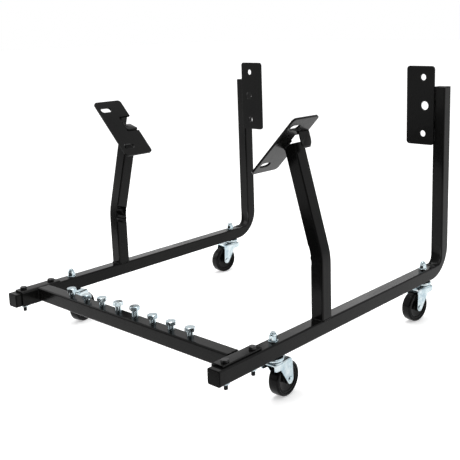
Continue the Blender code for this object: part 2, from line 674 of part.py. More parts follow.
def wheel():
    """Hub, recessed web, rim and crowned tread, turned about Y. A flat of the tread faces down."""
    half = WHEEL_WIDTH / 2
    rim = WHEEL_RADIUS - TREAD_DEPTH
    bore = AXLE / 2 + RUNNING_CLEARANCE
    side = [
        (bore, HUB_WIDTH / 2),
        (HUB_RADIUS, HUB_WIDTH / 2),
        (HUB_RADIUS + WEB_FILLET, half - WEB_RECESS),
        (rim - RIM_WIDTH - WEB_FILLET, half - WEB_RECESS),
        (rim - RIM_WIDTH, half - RIM_STEP),
        (rim, half - RIM_STEP),
        (rim + RIM_STEP, half),
        (WHEEL_RADIUS - TREAD_CROWN, half - RIM_STEP),
        (WHEEL_RADIUS, half - 2 * TREAD_CROWN),
    ]
    profile = side + [(radius, -across) for radius, across in reversed(side)]
    stretch = 1 / cos(pi / WHEEL_STEPS)
    bm = bmesh.new()
    ring = face_from(bm, profile, lambda a, b: (0, b, -a * stretch))
    edges = list(ring.edges)
    bmesh.ops.delete(bm, geom=[ring], context="FACES_ONLY")
    half_step = Matrix.Rotation(pi / WHEEL_STEPS, 3, "Y")
    bmesh.ops.rotate(bm, verts=bm.verts, cent=(0, 0, 0), matrix=half_step)
    bmesh.ops.spin(
        bm, geom=edges, cent=(0, 0, 0), axis=(0, 1, 0), angle=2 * pi, steps=WHEEL_STEPS, use_merge=True
    )
    return bm


def make_caster(where, side, setback, swivel_angle):
    place = Vector((side * RAIL_X, FRONT + setback, RAIL_BOTTOM))
    swivel = bpy.data.objects.new("caster_" + where + "_swivel", None)
    bpy.context.collection.objects.link(swivel)
    swivel.location = place
    swivel.rotation_euler = (0, 0, swivel_angle)
    add_object("stem_" + where, stem_and_race(), ZINC, place)
    washer = [(circle(STEM / 2 + GAP), 0), (circle(WASHER_RADIUS), 0)]
    washer += [(circle(WASHER_RADIUS), WASHER_THICKNESS), (circle(STEM / 2 + GAP), WASHER_THICKNESS)]
    washer_place = place + Vector((0, 0, TUBE + GAP))
    add_object("stem_washer_" + where, stacked(washer, bored=True), ZINC, washer_place)
    nut = hex_nut(STEM, LOCK_NUT_FLATS, LOCK_NUT_HEIGHT, LOCK_NUT_COLLAR)
    nut_place = washer_place + Vector((0, 0, WASHER_THICKNESS + GAP))
    add_object("stem_lock_nut_" + where, nut, ZINC, nut_place)
    add_object("swivel_balls_" + where, ball_ring(), ZINC, parent=swivel)
    make_fork("fork_" + where, swivel)
    add_object("axle_" + where, axle(), ZINC, parent=swivel)
    add_object("wheel_" + where, wheel(), TREAD, (TRAIL, 0, -AXLE_DROP), swivel)


# ---- the stand --------------------------------------------------------------------------------------
clear_scene()
make_cross_tube()
make_stored_bolts()
for side, side_name in ((1, "right"), (-1, "left")):
    make_rail(side, side_name)
    make_bracket(side, side_name)
    make_bracket_bolts(side, side_name)
    make_post(side, side_name)
    make_mount_plate(side, side_name)
    make_bell_plate(side, side_name)
for where, (side, setback, swivel_angle) in CASTERS.items():
    make_caster(where, side, setback, swivel_angle)
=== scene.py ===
import json
from math import atan2, cos, pi, radians, sin, sqrt, tan

import bmesh
import bpy
from mathutils import Matrix, Vector, noise


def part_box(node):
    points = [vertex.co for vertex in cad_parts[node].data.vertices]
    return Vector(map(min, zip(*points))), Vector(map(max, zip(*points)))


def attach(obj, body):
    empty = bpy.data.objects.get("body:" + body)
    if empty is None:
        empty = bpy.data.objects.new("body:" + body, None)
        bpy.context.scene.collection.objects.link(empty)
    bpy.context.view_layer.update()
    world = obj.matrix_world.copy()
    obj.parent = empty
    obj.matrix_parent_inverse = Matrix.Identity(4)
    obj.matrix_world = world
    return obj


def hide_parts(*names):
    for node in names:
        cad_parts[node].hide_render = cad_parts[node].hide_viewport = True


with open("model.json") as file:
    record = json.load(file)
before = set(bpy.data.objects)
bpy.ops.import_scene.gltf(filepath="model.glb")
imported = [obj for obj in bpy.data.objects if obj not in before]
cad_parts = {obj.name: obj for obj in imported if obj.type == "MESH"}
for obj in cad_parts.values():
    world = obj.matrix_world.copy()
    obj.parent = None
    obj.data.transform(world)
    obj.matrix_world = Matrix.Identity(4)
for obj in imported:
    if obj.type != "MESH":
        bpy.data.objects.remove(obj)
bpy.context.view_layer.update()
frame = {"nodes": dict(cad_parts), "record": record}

record = frame["record"]
mounts = {mount["name"]: mount for mount in record["mounts"]}
joints = {joint["name"]: joint for joint in record["behaviour"]["joints"]}
sides = {"right": 1, "left": -1}
print("frame loaded with", len(frame["nodes"]), "nodes")


# ------ finishes: a wrapped socket takes part in sums, and each operator adds one Math node
class Number:
    def __init__(self, tree, socket):
        self.tree = tree
        self.socket = socket

    def math(self, operation, first, second=0.0):
        node = self.tree.nodes.new("ShaderNodeMath")
        node.operation = operation
        for place, value in enumerate((first, second)):
            if isinstance(value, Number):
                self.tree.links.new(value.socket, node.inputs[place])
            else:
                node.inputs[place].default_value = value
        return Number(self.tree, node.outputs[0])

    def __add__(self, other):
        return self.math("ADD", self, other)

    def __sub__(self, other):
        return self.math("SUBTRACT", self, other)

    def __rsub__(self, other):
        return self.math("SUBTRACT", other, self)

    def __mul__(self, other):
        return self.math("MULTIPLY", self, other)

    __radd__ = __add__
    __rmul__ = __mul__


class Finish:
    def __init__(self, name, **constants):
        self.material = bpy.data.materials.new(name)
        self.material.use_nodes = True
        self.tree = self.material.node_tree
        self.shader = self.tree.nodes["Principled BSDF"]
        for socket, value in constants.items():
            self.shader.inputs[socket.replace("_", " ")].default_value = value
        self.place = self.node("ShaderNodeTexCoord", output="Object")

    # any node. Its settings come before its sockets, because some of them change which sockets there are
    def node(self, kind, settings=None, sockets=None, output=0):
        node = self.tree.nodes.new(kind)
        for name, value in (settings or {}).items():
            if name == "stops":
                ramp = node.color_ramp
                while len(ramp.elements) < len(value):
                    ramp.elements.new(0.5)
                for element, (position, shade) in zip(ramp.elements, value):
                    element.position = position
                    element.color = (shade, shade, shade, 1)
            else:
                setattr(node, name, value)
        for name, value in (sockets or {}).items():
            if isinstance(value, Number):
                self.tree.links.new(value.socket, node.inputs[name])
            else:
                node.inputs[name].default_value = value
        return Number(self.tree, node.outputs[output])

    def noise(self, scale, detail=2.0, roughness=0.5):
        sockets = {"Vector": self.place, "Scale": scale, "Detail": detail, "Roughness": roughness}
        return self.node("ShaderNodeTexNoise", {}, sockets, "Fac")

    def ramp(self, value, *stops):
        return self.node("ShaderNodeValToRGB", {"stops": stops}, {"Fac": value})

    # sockets 6 and 7 of the Mix node, and output 2, are its colours
    def blend(self, factor, first, second):
        first = first if isinstance(first, Number) else (*first, 1)
        return self.node("ShaderNodeMix", {"data_type": "RGBA"}, {0: factor, 6: first, 7: (*second, 1)}, 2)

    def bump(self, height, distance, below=None):
        sockets = {"Height": height, "Distance": distance, "Strength": 1.0}
        if below:
            sockets["Normal"] = below
        return self.node("ShaderNodeBump", {}, sockets)

    def feed(self, **links):
        for socket, value in links.items():
            self.tree.links.new(value.socket, self.shader.inputs[socket.replace("_", " ")])
        return self.material


def powderCoat(name, weld=False):
    look = {
        "tone": (0.0018, 0.0019, 0.0020), "paler": (0.0058, 0.0057, 0.0053),
        "peel": 0.00003 * (4 if weld else 1), "sag": 0.0002 * (3 if weld else 1),
    }
    coat = Finish(name, Specular_IOR_Level=0.10)
    cloudy = coat.noise(7.0, 3.0)
    specks = coat.noise(900.0, 2.0)
    peel = coat.noise(420.0, 2.0)
    sag = coat.noise(38.0, 2.0)
    roughness = 0.13 + 0.07 * coat.ramp(cloudy, (0.35, 0.0), (0.7, 1.0)) + 0.05 * specks
    waves = coat.bump(sag, look["sag"])
    surface = coat.bump(peel, look["peel"], below=waves)
    mottle = coat.ramp(cloudy * 0.7 + specks * 0.3, (0.3, 0.0), (0.75, 1.0))
    colour = coat.blend(mottle, look["tone"], look["paler"])
    return coat.feed(Base_Color=colour, Roughness=roughness, Normal=surface)


def zincPlate():
    look = {"bright": (0.54, 0.60, 0.62), "blue": (0.32, 0.42, 0.47), "stain": (0.36, 0.36, 0.32)}
    zinc = Finish("brightZinc", Metallic=1.0)
    cloudy = zinc.noise(60.0, 4.0, 0.6)
    spots = zinc.noise(260.0, 3.0)
    grain = zinc.noise(1500.0, 2.0)
    tint = zinc.blend(zinc.ramp(cloudy, (0.4, 0.0), (0.68, 1.0)), look["bright"], look["blue"])
    stained = zinc.ramp(spots, (0.62, 0.0), (0.72, 0.5))
    colour = zinc.blend(stained, tint, look["stain"])
    roughness = 0.12 + 0.12 * zinc.ramp(cloudy, (0.3, 0.0), (0.7, 1.0)) + 0.08 * spots
    dents = zinc.bump(zinc.noise(110.0, 2.0), 0.00025)
    return zinc.feed(Base_Color=colour, Roughness=roughness, Normal=zinc.bump(grain, 0.00002, dents))


def blackOxide():
    look = {"tone": (0.012, 0.012, 0.013), "worn": (0.05, 0.047, 0.045)}
    oxide = Finish("blackOxide", Metallic=0.35)
    rubbed = oxide.ramp(oxide.noise(190.0, 4.0, 0.65), (0.52, 0.0), (0.72, 1.0))
    colour = oxide.blend(rubbed, look["tone"], look["worn"])
    roughness = 0.30 + 0.18 * oxide.noise(420.0)
    return oxide.feed(Base_Color=colour, Roughness=roughness, Normal=oxide.bump(oxide.noise(800.0), 0.00003))


def capPlastic():
    look = {"tone": (0.0012, 0.0012, 0.0013), "paler": (0.003, 0.003, 0.003)}
    plastic = Finish("capPlastic", Specular_IOR_Level=0.06)
    grain = plastic.node("ShaderNodeTexVoronoi", {}, {"Vector": plastic.place, "Scale": 1100.0}, "Distance")
    cloudy = plastic.noise(45.0, 3.0)
    colour = plastic.blend(cloudy, look["tone"], look["paler"])
    roughness = 0.24 + 0.14 * cloudy
    return plastic.feed(Base_Color=colour, Roughness=roughness, Normal=plastic.bump(grain, 0.00005))


def wheelPlastic():
    look = {"tone": (0.0020, 0.0020, 0.0022), "scuff": (0.010, 0.0095, 0.009)}
    plastic = Finish("wheelPlastic", Specular_IOR_Level=0.10)
    flow = plastic.noise(30.0, 3.0, 0.6)
    scuffs = plastic.ramp(plastic.noise(240.0, 5.0, 0.7), (0.55, 0.0), (0.75, 1.0))
    colour = plastic.blend(scuffs, look["tone"], look["scuff"])
    roughness = 0.13 + 0.12 * flow + 0.16 * scuffs
    return plastic.feed(Base_Color=colour, Roughness=roughness, Normal=plastic.bump(flow, 0.0002))


blackPaint = powderCoat("powderCoat")
weldPaint = powderCoat("weldCoat", weld=True)
zinc = zincPlate()
oxide = blackOxide()
plastic = capPlastic()
wheelBlack = wheelPlastic()
print("finishes made")


# ------ shaping
def addPiece(name, bm, material, body, replaced=(), smooth=20):
    bmesh.ops.recalc_face_normals(bm, faces=bm.faces)
    mesh = bpy.data.meshes.new(name)
    bm.to_mesh(mesh)
    bm.free()
    mesh.materials.append(material)
    mesh.shade_smooth()
    mesh.set_sharp_from_angle(angle=radians(smooth))
    piece = bpy.data.objects.new(name, mesh)
    bpy.context.collection.objects.link(piece)
    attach(piece, body)
    if replaced:
        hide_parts(*replaced)
    return piece


def joinInto(bm, other):
    mesh = bpy.data.meshes.new("joined")
    other.to_mesh(mesh)
    other.free()
    bm.from_mesh(mesh)
    bpy.data.meshes.remove(mesh)
    return bm


# the solid that a Boolean modifier leaves of two shapes
def combined(bm, other, operation):
    holders = []
    for shape in (bm, other):
        bmesh.ops.recalc_face_normals(shape, faces=shape.faces)
        mesh = bpy.data.meshes.new("shape")
        shape.to_mesh(mesh)
        shape.free()
        holder = bpy.data.objects.new("shape", mesh)
        bpy.context.collection.objects.link(holder)
        holders.append(holder)
    modifier = holders[0].modifiers.new("combine", "BOOLEAN")
    modifier.operation = operation
    modifier.solver = "EXACT"
    modifier.object = holders[1]
    made = bmesh.new()
    made.from_object(holders[0], bpy.context.evaluated_depsgraph_get())
    for holder in holders:
        mesh = holder.data
        bpy.data.objects.remove(holder)
        bpy.data.meshes.remove(mesh)
    return made


def moved(bm, matrix):
    bmesh.ops.transform(bm, matrix=matrix, verts=bm.verts)
    return bm


# a small bevel along each edge that turns by more than the least angle, in degrees
def soften(bm, width, least, segments=2):
    joining = [edge for edge in bm.edges if len(edge.link_faces) == 2]
    sharp = [edge for edge in joining if edge.calc_face_angle() > radians(least)]
    bmesh.ops.bevel(
        bm, geom=sharp, offset=width, affect="EDGES", segments=segments, profile=0.5, material=-1,
        clamp_overlap=True,
    )
    return bm


# an outline with an arc in place of each corner that has a radius
def rounded(points, radii, steps=6):
    outline = []
    for place, (point, radius) in enumerate(zip(points, radii)):
        if not radius:
            outline.append(point)
            continue
        here = Vector(point)
        back = (Vector(points[place - 1]) - here).normalized()
        ahead = (Vector(points[(place + 1) % len(points)]) - here).normalized()
        half = back.angle(ahead) / 2
        centre = here + (back + ahead).normalized() * (radius / sin(half))
        start = here + back * (radius / tan(half)) - centre
        finish = here + ahead * (radius / tan(half)) - centre
        begin = atan2(start.y, start.x)
        turn = (atan2(finish.y, finish.x) - begin + pi) % (2 * pi) - pi
        for step in range(steps + 1):
            angle = begin + turn * step / steps
            outline.append((centre.x + radius * cos(angle), centre.y + radius * sin(angle)))
    return outline


def arc(centre, radius, begin, end, steps):
    angles = [begin + (end - begin) * step / steps for step in range(steps + 1)]
    return [(centre[0] + radius * cos(angle), centre[1] + radius * sin(angle)) for angle in angles]


def outlineFace(bm, outline, place):
    return bm.faces.new([bm.verts.new(place(a, b)) for a, b in outline])


def extrude(bm, faces, offset):
    joined = any(other not in faces for face in faces for edge in face.edges for other in edge.link_faces)
    made = bmesh.ops.extrude_face_region(bm, geom=faces)["geom"]
    bmesh.ops.translate(bm, verts=[item for item in made if isinstance(item, bmesh.types.BMVert)], vec=offset)
    if joined:
        bmesh.ops.delete(bm, geom=faces, context="FACES")
    return [item for item in made if isinstance(item, bmesh.types.BMFace)]


def sweep(bm, faces, centre, axis, angle, steps):
    made = bmesh.ops.spin(bm, geom=faces, cent=centre, axis=axis, angle=angle, steps=steps)
    bmesh.ops.delete(bm, geom=faces, context="FACES")
    return [item for item in made["geom_last"] if isinstance(item, bmesh.types.BMFace)]


def slab(outline, place, offset):
    bm = bmesh.new()
    extrude(bm, [outlineFace(bm, outline, place)], offset)
    return bm


# a profile of (radius, height) turned round Z. A ring's profile meets itself
def turned(profile, steps=48, ring=False):
    bm = bmesh.new()
    verts = [bm.verts.new((radius, 0, height)) for radius, height in profile]
    edges = [bm.edges.new(pair) for pair in zip(verts, verts[1:])]
    if ring:
        edges.append(bm.edges.new((verts[-1], verts[0])))
    bmesh.ops.spin(
        bm, geom=verts + edges, cent=(0, 0, 0), axis=(0, 0, 1), angle=2 * pi, steps=steps, use_merge=True
    )
    bmesh.ops.remove_doubles(bm, verts=bm.verts, dist=1e-6)
    return bm


def rod(radius, low, high, steps=32):
    return turned([(0, low), (radius, low), (radius, high), (0, high)], steps)


# hold: how far beside the round corners the points lie that keep the flats flat
tube = {"side": 0.0381, "corner": 0.0042, "hold": 0.0008}


# the section of a square tube in XY. The side that faces cutSide can be cut finer for a dent
def tubeSection(bm, cuts=0, cutSide=(0, 0)):
    side, corner = tube["side"], tube["corner"]
    shape = Matrix.Diagonal((side, side, 1, 1))
    bmesh.ops.create_grid(bm, x_segments=1, y_segments=1, size=0.5, matrix=shape)
    bmesh.ops.bevel(
        bm, geom=list(bm.verts), offset=corner, affect="VERTICES", segments=6, profile=0.5, material=-1
    )
    flats = [edge for edge in bm.edges if edge.calc_length() > corner]
    added = bmesh.ops.subdivide_edges(bm, edges=flats, cuts=2)["geom_inner"]
    hold = side / 2 - corner - tube["hold"]
    onSide = side * 0.49  # a point further out than this lies on a flat side
    for vert in added:
        if isinstance(vert, bmesh.types.BMVert):
            for axis in (0, 1):
                if abs(vert.co[axis]) < onSide:
                    vert.co[axis] = hold if vert.co[axis] > 0 else -hold
    if cuts:
        toward = Vector((*cutSide, 0))
        wide = [edge for edge in bm.edges if edge.calc_length() > corner]
        facing = [edge for edge in wide if min(vert.co.dot(toward) for vert in edge.verts) > onSide]
        bmesh.ops.subdivide_edges(bm, edges=facing, cuts=cuts)
    return list(bm.faces)


# a rippled weld along a path. It swells a little for each drop of metal, and thins out at both ends
def weldBead(points, radius, seed):
    drop = 0.0032
    line = [Vector(point) for point in points]
    spans = [(b - a).length for a, b in zip(line, line[1:])]
    length = sum(spans)
    count = max(6, int(length / drop * 5))
    bm = bmesh.new()
    lastLoop = None
    for step in range(count + 1):
        along = length * step / count
        rest, span = along, 0
        while span < len(spans) - 1 and rest > spans[span]:
            rest -= spans[span]
            span += 1
        direction = (line[span + 1] - line[span]).normalized()
        centre = line[span] + direction * rest
        phase = (along / drop) % 1.0
        wobble = noise.noise(Vector((along * 160, seed * 7.3, 0.5)))
        size = radius * (0.80 + 0.22 * sqrt(max(0.0, 1 - (2 * phase - 1) ** 2)) + 0.16 * wobble)
        size *= min(1.0, 0.35 + 3 * min(step, count - step) / 5)
        sway = [noise.noise(Vector((along * 90, *row))) for row in ((3.1, seed * 5.1), (8.7, seed))]
        turn = direction.to_track_quat("Z", "Y").to_matrix().to_4x4()
        place = Matrix.Translation(centre + turn @ Vector((*sway, 0)) * radius * 0.25) @ turn
        ring = bmesh.ops.create_circle(bm, cap_ends=False, segments=10, radius=size, matrix=place)
        loop = list({edge for vert in ring["verts"] for edge in vert.link_edges})
        if lastLoop:
            bmesh.ops.bridge_loops(bm, edges=lastLoop + loop)
        else:
            firstLoop = loop
        lastLoop = loop
    bmesh.ops.holes_fill(bm, edges=firstLoop + lastLoop, sides=12)
    return bm


# ------ side rails, plugs and caps
turnX = Matrix.Rotation(pi / 2, 4, "X")  # +Z to -Y
turnY = Matrix.Rotation(pi / 2, 4, "Y")  # +Z to +X
railLow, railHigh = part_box("rail_right")
railX = (railLow.x + railHigh.x) / 2
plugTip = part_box("front_plug_right")[0].y
capLow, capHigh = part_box("upright_cap_right")


def railShape():
    shape = {
        "bendRadius": 0.092, "bendSteps": 40, "crush": 5.5, "dentDepth": 0.0065, "dentCuts": 11,
        "fold": 0.0055, "foldAt": 0.50, "foldReach": 0.13,
    }
    start, reach = railLow.y, railHigh.y - shape["bendRadius"]
    bm = bmesh.new()
    faces = tubeSection(bm, shape["dentCuts"], (0, 1))
    moved(bm, Matrix.Translation((railX, start, railLow.z + tube["side"] / 2)) @ turnX)
    faces = extrude(bm, faces, (0, reach - start, 0))
    centre = Vector((railX, reach, railLow.z + shape["bendRadius"]))
    faces = sweep(bm, faces, centre, (1, 0, 0), pi / 2, shape["bendSteps"])
    extrude(bm, faces, (0, 0, railHigh.z - centre.z))
    inside = shape["bendRadius"] - tube["side"]
    for vert in bm.verts:
        arm = vert.co - centre
        around = atan2(arm.y, -arm.z)
        distance = sqrt(arm.y ** 2 + arm.z ** 2)
        if not 0 < around < pi / 2 or distance > inside + 0.006:
            continue
        # the inner wall is crushed towards a square corner, and its middle is dented further with one fold
        square = (cos(around) ** shape["crush"] + sin(around) ** shape["crush"]) ** (-1 / shape["crush"])
        across = abs(arm.x) / (tube["side"] / 2)
        ripple = 0.85 + 0.22 * cos(around * 10) + 0.3 * noise.noise(vert.co * 55)
        fold = shape["fold"] * max(0.0, 1 - ((around - shape["foldAt"]) / shape["foldReach"]) ** 2)
        dent = (shape["dentDepth"] * sin(around * 2) ** 0.6 * ripple - fold) * (1 - across ** 4)
        vert.co += Vector((0, arm.y, arm.z)).normalized() * (inside * (square - 1) + dent)
    return bm


# a flange with a rolled edge and a shallow recess in its face
def plugShape(thickness):
    shape = {"roll": 0.0014, "rollSteps": 4, "lip": 0.0032, "slope": 0.0006, "recess": 0.0004}
    bm = bmesh.new()
    faces = tubeSection(bm)
    faces = extrude(bm, faces, (0, 0, thickness - shape["roll"]))
    lastOut = lastUp = 0.0
    for step in range(1, shape["rollSteps"] + 1):
        angle = pi / 2 * step / shape["rollSteps"]
        out, up = shape["roll"] * (1 - cos(angle)), shape["roll"] * sin(angle)
        bmesh.ops.inset_region(bm, faces=faces, thickness=out - lastOut, depth=up - lastUp)
        lastOut, lastUp = out, up
    bmesh.ops.inset_region(bm, faces=faces, thickness=shape["lip"] - shape["roll"], depth=0.0)
    bmesh.ops.inset_region(bm, faces=faces, thickness=shape["slope"], depth=-shape["recess"])
    return bm


for side, sign in sides.items():
    mirror = Matrix.Diagonal((sign, 1, 1, 1))
    rail = moved(railShape(), mirror)
    addPiece("rail_tube_" + side, rail, blackPaint, "frame", ["rail_" + side], 40)
    inFront = Matrix.Translation((railX, railLow.y, railLow.z + tube["side"] / 2)) @ turnX
    plug = moved(plugShape(railLow.y - plugTip), mirror @ inFront)
    addPiece("front_plug_cover_" + side, plug, plastic, "frame", ["front_plug_" + side])
    onTop = Matrix.Translation((railX, (capLow.y + capHigh.y) / 2, railHigh.z))
    cap = moved(plugShape(capHigh.z - railHigh.z), mirror @ onTop)
    addPiece("upright_cap_cover_" + side, cap, plastic, "frame", ["upright_cap_" + side])
print("rails made")


# ------ corner brackets and cross tube
def bracketShape():
    shape = {"thickness": 0.005, "bend": 0.008, "edge": 0.0005}
    low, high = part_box("corner_bracket_right")
    thick, bend = shape["thickness"], shape["bend"]
    points = [(high.x, high.z - thick), (high.x, high.z), (low.x, high.z), (low.x, low.z)]
    points += [(low.x + thick, low.z), (low.x + thick, high.z - thick)]
    outline = rounded(points, [0, 0, bend, 0, 0, bend - thick], 8)
    bm = slab(outline, lambda a, b: (a, low.y, b), (0, high.y - low.y, 0))
    return soften(bm, shape["edge"], 40)


def crossTubeShape():
    shape = {"hole": 0.0086, "deep": 0.012, "over": 0.01}
    low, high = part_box("cross_tube")
    bm = bmesh.new()
    faces = tubeSection(bm)
    moved(bm, Matrix.Translation((low.x, (low.y + high.y) / 2, (low.z + high.z) / 2)) @ turnY)
    extrude(bm, faces, (high.x - low.x, 0, 0))
    holes = bmesh.new()
    for number in range(1, 9):
        boltLow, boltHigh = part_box("engine_bolt_%d" % number)
        place = Matrix.Translation(((boltLow.x + boltHigh.x) / 2, (low.y + high.y) / 2, 0))
        joinInto(holes, moved(rod(shape["hole"], high.z - shape["deep"], high.z + shape["over"]), place))
    return combined(bm, holes, "DIFFERENCE")


for side, sign in sides.items():
    bracket = moved(bracketShape(), Matrix.Diagonal((sign, 1, 1, 1)))
    replaced = ["corner_bracket_" + side]
    addPiece("bracket_angle_" + side, bracket, blackPaint, "frame", replaced)
addPiece("cross_bar", crossTubeShape(), blackPaint, "frame", ["cross_tube"])
print("brackets and cross tube made")


# ------ bolts and nuts
# a hexagon with a chamfered top. With a bore it is a nut, which is chamfered below as well
def hexBlock(flats, height, bore=0.0):
    shape = {"inset": 0.0004, "over": 1.02, "slope": 0.55, "below": 0.001, "edge": 0.00025}
    corner = flats / 2 / cos(pi / 6)
    bm = bmesh.new()
    bmesh.ops.create_cone(
        bm, cap_ends=True, cap_tris=False, segments=6, radius1=corner, radius2=corner, depth=height,
        matrix=Matrix.Translation((0, 0, height / 2)),
    )
    face = flats / 2 - shape["inset"]
    wide = corner * shape["over"]
    fall = (wide - face) * shape["slope"]
    profile = [(0, 0), (face, 0), (wide, fall)] if bore else [(0, -shape["below"]), (wide, -shape["below"])]
    profile += [(wide, height - fall), (face, height), (0, height)]
    bm = combined(bm, turned(profile, 72), "INTERSECT")
    if bore:
        bm = combined(bm, rod(bore, -0.01, height + 0.01, 40), "DIFFERENCE")
    return soften(bm, shape["edge"], 35, 1)


# thread ridges from low to high on a shank
def threaded(radius, low, high, pitch, steps=32):
    turns = int((high - low - pitch) / pitch)
    root = radius - pitch * 0.5
    chamfer, first = 0.0006, low + 0.0008
    profile = [(0, low), (root - chamfer, low), (root, low + chamfer)]
    for turnNumber in range(turns):
        base = first + turnNumber * pitch
        profile += [(root, base), (radius, base + pitch * 0.42), (radius, base + pitch * 0.55)]
    profile += [(root, first + turns * pitch), (root, high), (0, high)]
    return turned(profile, steps)


def boltAt(node):
    low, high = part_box(node)
    return low, high, Vector(((low.x + high.x) / 2, (low.y + high.y) / 2, 0))


storedBolt = {
    "radius": 0.00795, "flats": 0.0238, "head": 0.010, "pitch": 0.0023,
    "plain": 0.022, "flange": 0.0108, "flangeHeight": 0.0004, "lap": 0.0002,
}
storedHead = hexBlock(storedBolt["flats"], storedBolt["head"])
for number in range(1, 9):
    node = "engine_bolt_%d" % number
    low, high, centre = boltAt(node)
    under = high.z - storedBolt["head"]
    turnBy = radians(17 + 47 * number)
    head = storedHead.copy()
    moved(head, Matrix.Translation(centre + Vector((0, 0, under))) @ Matrix.Rotation(turnBy, 4, "Z"))
    radius, flange = storedBolt["radius"], storedBolt["flange"]
    plainLow, flangeLow = under - storedBolt["plain"], under - storedBolt["flangeHeight"]
    plain = [(0, plainLow), (radius, plainLow), (radius, flangeLow)]
    plain += [(flange, flangeLow), (flange, under), (0, under)]
    joinInto(head, moved(turned(plain, 40), Matrix.Translation(centre)))
    threads = threaded(radius, low.z, plainLow + storedBolt["lap"], storedBolt["pitch"], 40)
    joinInto(head, moved(threads, Matrix.Translation(centre)))
    addPiece("stored_bolt_%d" % number, head, zinc, "frame", [node])
storedHead.free()

bracketBolt = {
    "radius": 0.005, "flats": 0.017, "head": 0.0065, "pitch": 0.0015, "thread": 0.03, "lap": 0.0004,
    "nut": 0.0085, "bore": 0.0052, "turns": {"front": 13, "rear": 41},
}
bracketHead = hexBlock(bracketBolt["flats"], bracketBolt["head"])
bracketNut = hexBlock(bracketBolt["flats"], bracketBolt["nut"], bracketBolt["bore"])
for side in sides:
    for end in ("front", "rear"):
        low, high, centre = boltAt("bracket_bolt_%s_%s" % (side, end))
        under = high.z - bracketBolt["head"]
        turnBy = Matrix.Rotation(radians(bracketBolt["turns"][end]), 4, "Z")
        head = moved(bracketHead.copy(), Matrix.Translation(centre + Vector((0, 0, under))) @ turnBy)
        threadTop = low.z + bracketBolt["thread"]
        threads = threaded(bracketBolt["radius"], low.z, threadTop, bracketBolt["pitch"])
        joinInto(head, moved(threads, Matrix.Translation(centre)))
        plain = rod(bracketBolt["radius"], threadTop - bracketBolt["lap"], under)
        joinInto(head, moved(plain, Matrix.Translation(centre)))
        name = "bracket_%s_" + side + "_" + end
        addPiece(name % "screw", head, oxide, "frame", [name % "bolt"])
        nutLow, nutHigh, nutCentre = boltAt(name % "nut")
        nut = moved(bracketNut.copy(), Matrix.Translation(nutCentre + Vector((0, 0, nutLow.z))) @ turnBy)
        addPiece(name % "hex_nut", nut, zinc, "frame", [name % "nut"])
bracketHead.free()
bracketNut.free()
print("bolts made")


# ------ posts and engine mount plates
postLow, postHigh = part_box("post_right")
postX, postY = railX, (postLow.y + postHigh.y) / 2  # a post stands on the middle of its rail
faceMount = mounts["engine_mount_face_right"]
faceNormal = Vector(faceMount["axis"]).normalized()
plateRows = ((faceNormal.z, 0, faceNormal.x), (0, 1, 0), (-faceNormal.x, 0, faceNormal.z))
plateTurn = Matrix(plateRows).to_4x4()
plateAngle = atan2(-faceNormal.x, faceNormal.z)
# slant: how far the folds of the dent drop towards the rear, for half the width
post = {
    "kink": 0.2013, "lean": radians(16.3), "upper": 0.2872, "bend": 0.150, "bendSteps": 26,
    "fine": 0.0022, "fineSteps": 10, "dentCuts": 13, "dent": 0.015, "dentReach": 0.015,
    "ridge": 0.0070, "ridgeReach": 0.0060, "crumple": 0.0030, "slant": 0.007,
}
kinkPoint = Vector((postX, postY, railLow.z + post["kink"]))
upPost = Vector((-sin(post["lean"]), 0, cos(post["lean"])))
postEnd = kinkPoint + upPost * post["upper"]


# the inner side of the post's bend is crushed: a hollow above a ridge, and a smaller hollow below it
def postShape():
    side = tube["side"]
    bm = bmesh.new()
    faces = tubeSection(bm, post["dentCuts"], (-1, 0))
    moved(bm, Matrix.Translation((postX, postY, postLow.z)))
    tangent = post["bend"] * tan(post["lean"] / 2)
    fine, fineSteps = post["fine"], post["fineSteps"]
    straight = kinkPoint.z - tangent - postLow.z - fine * fineSteps
    faces = extrude(bm, faces, (0, 0, straight))
    for step in range(fineSteps):
        faces = extrude(bm, faces, (0, 0, fine))
    centre = kinkPoint + Vector((-post["bend"], 0, -tangent))
    faces = sweep(bm, faces, centre, (0, -1, 0), post["lean"], post["bendSteps"])
    for step in range(fineSteps):
        faces = extrude(bm, faces, upPost * fine)
    faces = extrude(bm, faces, upPost * (post["upper"] - tangent - fine * fineSteps))
    middle = post["lean"] / 2
    outward = Vector((cos(middle), 0, sin(middle)))
    upward = Vector((-sin(middle), 0, cos(middle)))
    for vert in bm.verts:
        arm = vert.co - kinkPoint
        height, depth = arm.dot(upward), arm.dot(outward)
        if abs(height) > 0.036 or depth > -0.010:
            continue
        across = arm.y / (side / 2)
        fold = height + post["slant"] * across
        hollow = post["dent"] * max(0.0, 1 - ((fold - 0.008) / post["dentReach"]) ** 2) ** 0.7
        lower = post["dent"] * 0.5 * max(0.0, 1 - ((fold + 0.022) / 0.009) ** 2)
        ridge = post["ridge"] * max(0.0, 1 - abs(fold + 0.0095) / post["ridgeReach"])
        crumple = post["crumple"] * noise.noise(vert.co * 90) * max(0.0, 1 - abs(height) / 0.03)
        push = (hollow + lower - ridge + crumple) * (1 - min(1.0, abs(across)) ** 5)
        vert.co += outward * max(push, -0.0004)
    edges = [edge for face in faces for edge in face.edges]
    bmesh.ops.bevel(bm, geom=edges, offset=0.0008, affect="EDGES", segments=2, profile=0.5, material=-1)
    return bm


